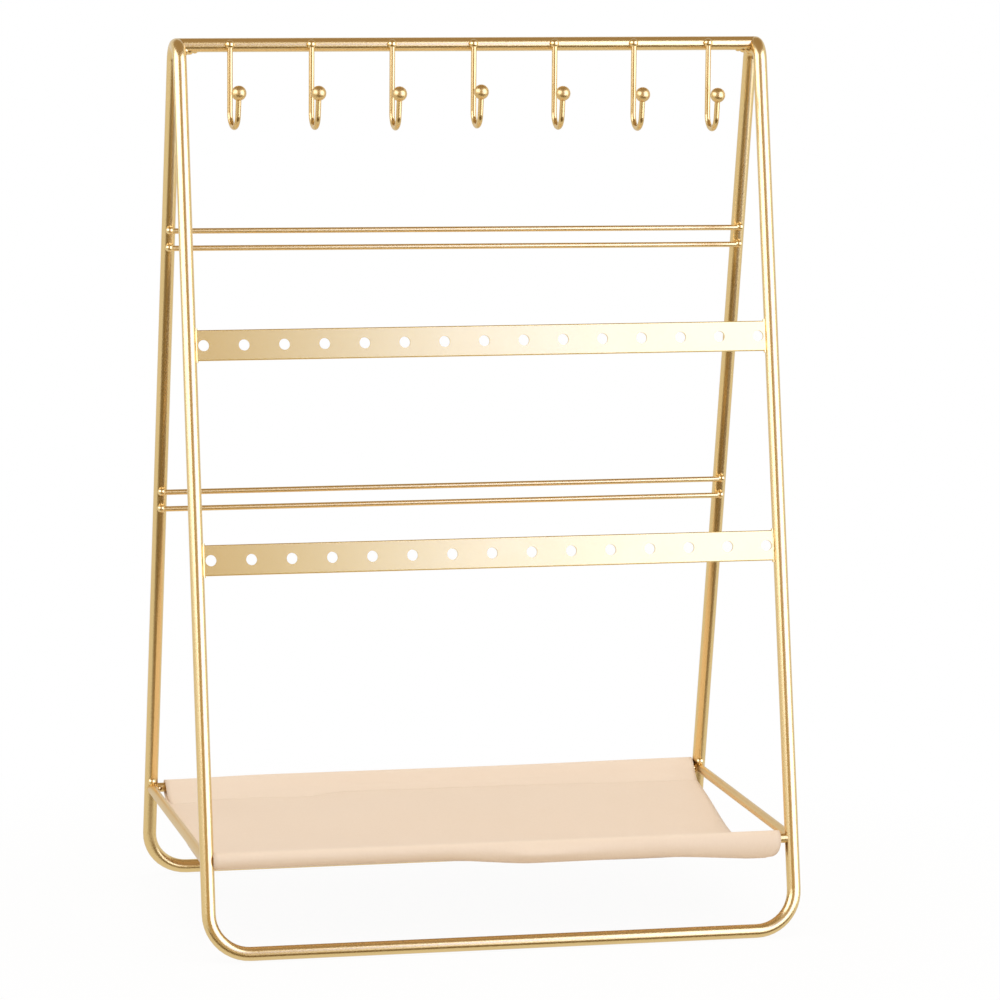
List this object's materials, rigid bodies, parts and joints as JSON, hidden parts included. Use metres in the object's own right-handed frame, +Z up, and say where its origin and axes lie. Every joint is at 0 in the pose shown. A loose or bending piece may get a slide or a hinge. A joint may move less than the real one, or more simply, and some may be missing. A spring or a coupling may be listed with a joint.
{
  "type": "jewelry stand",
  "caption": "Open A-frame jewelry stand of satin gold wire with ball-tipped hooks, necklace rails, pierced earring strips and a slung leather tray.",
  "frame": {"origin": "middle of the footprint, on the surface that the stand rests on", "axes": "+Z up, -Y towards the front with the hooks and earring strips, +X to the right seen from the front"},
  "size_m": [0.219, 0.1486, 0.3205],
  "materials": {
    "gold_metal": "satin champagne gold plating on steel wire",
    "sling": "matte pale beige faux leather"
  },
  "bodies": {
    "root": {"frame_rod": "gold_metal", "top_rail": "gold_metal", "top_rail_welds": "gold_metal", "hook_wire_1": "gold_metal", "hook_ball_1": "gold_metal", "hook_wire_2": "gold_metal", "hook_ball_2": "gold_metal", "hook_wire_3": "gold_metal", "hook_ball_3": "gold_metal", "hook_wire_4": "gold_metal", "hook_ball_4": "gold_metal", "hook_wire_5": "gold_metal", "hook_ball_5": "gold_metal", "hook_wire_6": "gold_metal", "hook_ball_6": "gold_metal", "hook_wire_7": "gold_metal", "hook_ball_7": "gold_metal", "hook_welds": "gold_metal", "necklace_rail_upper_top": "gold_metal", "necklace_rail_upper_bottom": "gold_metal", "necklace_rail_lower_top": "gold_metal", "necklace_rail_lower_bottom": "gold_metal", "necklace_rail_welds": "gold_metal", "earring_strip_upper": "gold_metal", "earring_strip_lower": "gold_metal", "earring_strip_welds": "gold_metal", "tray_front_bar": "gold_metal", "tray_rear_bar": "gold_metal", "tray_left_side_bar": "gold_metal", "tray_right_side_bar": "gold_metal", "tray_bar_welds": "gold_metal", "tray_sling": "sling"}
  },
  "joints": []
}
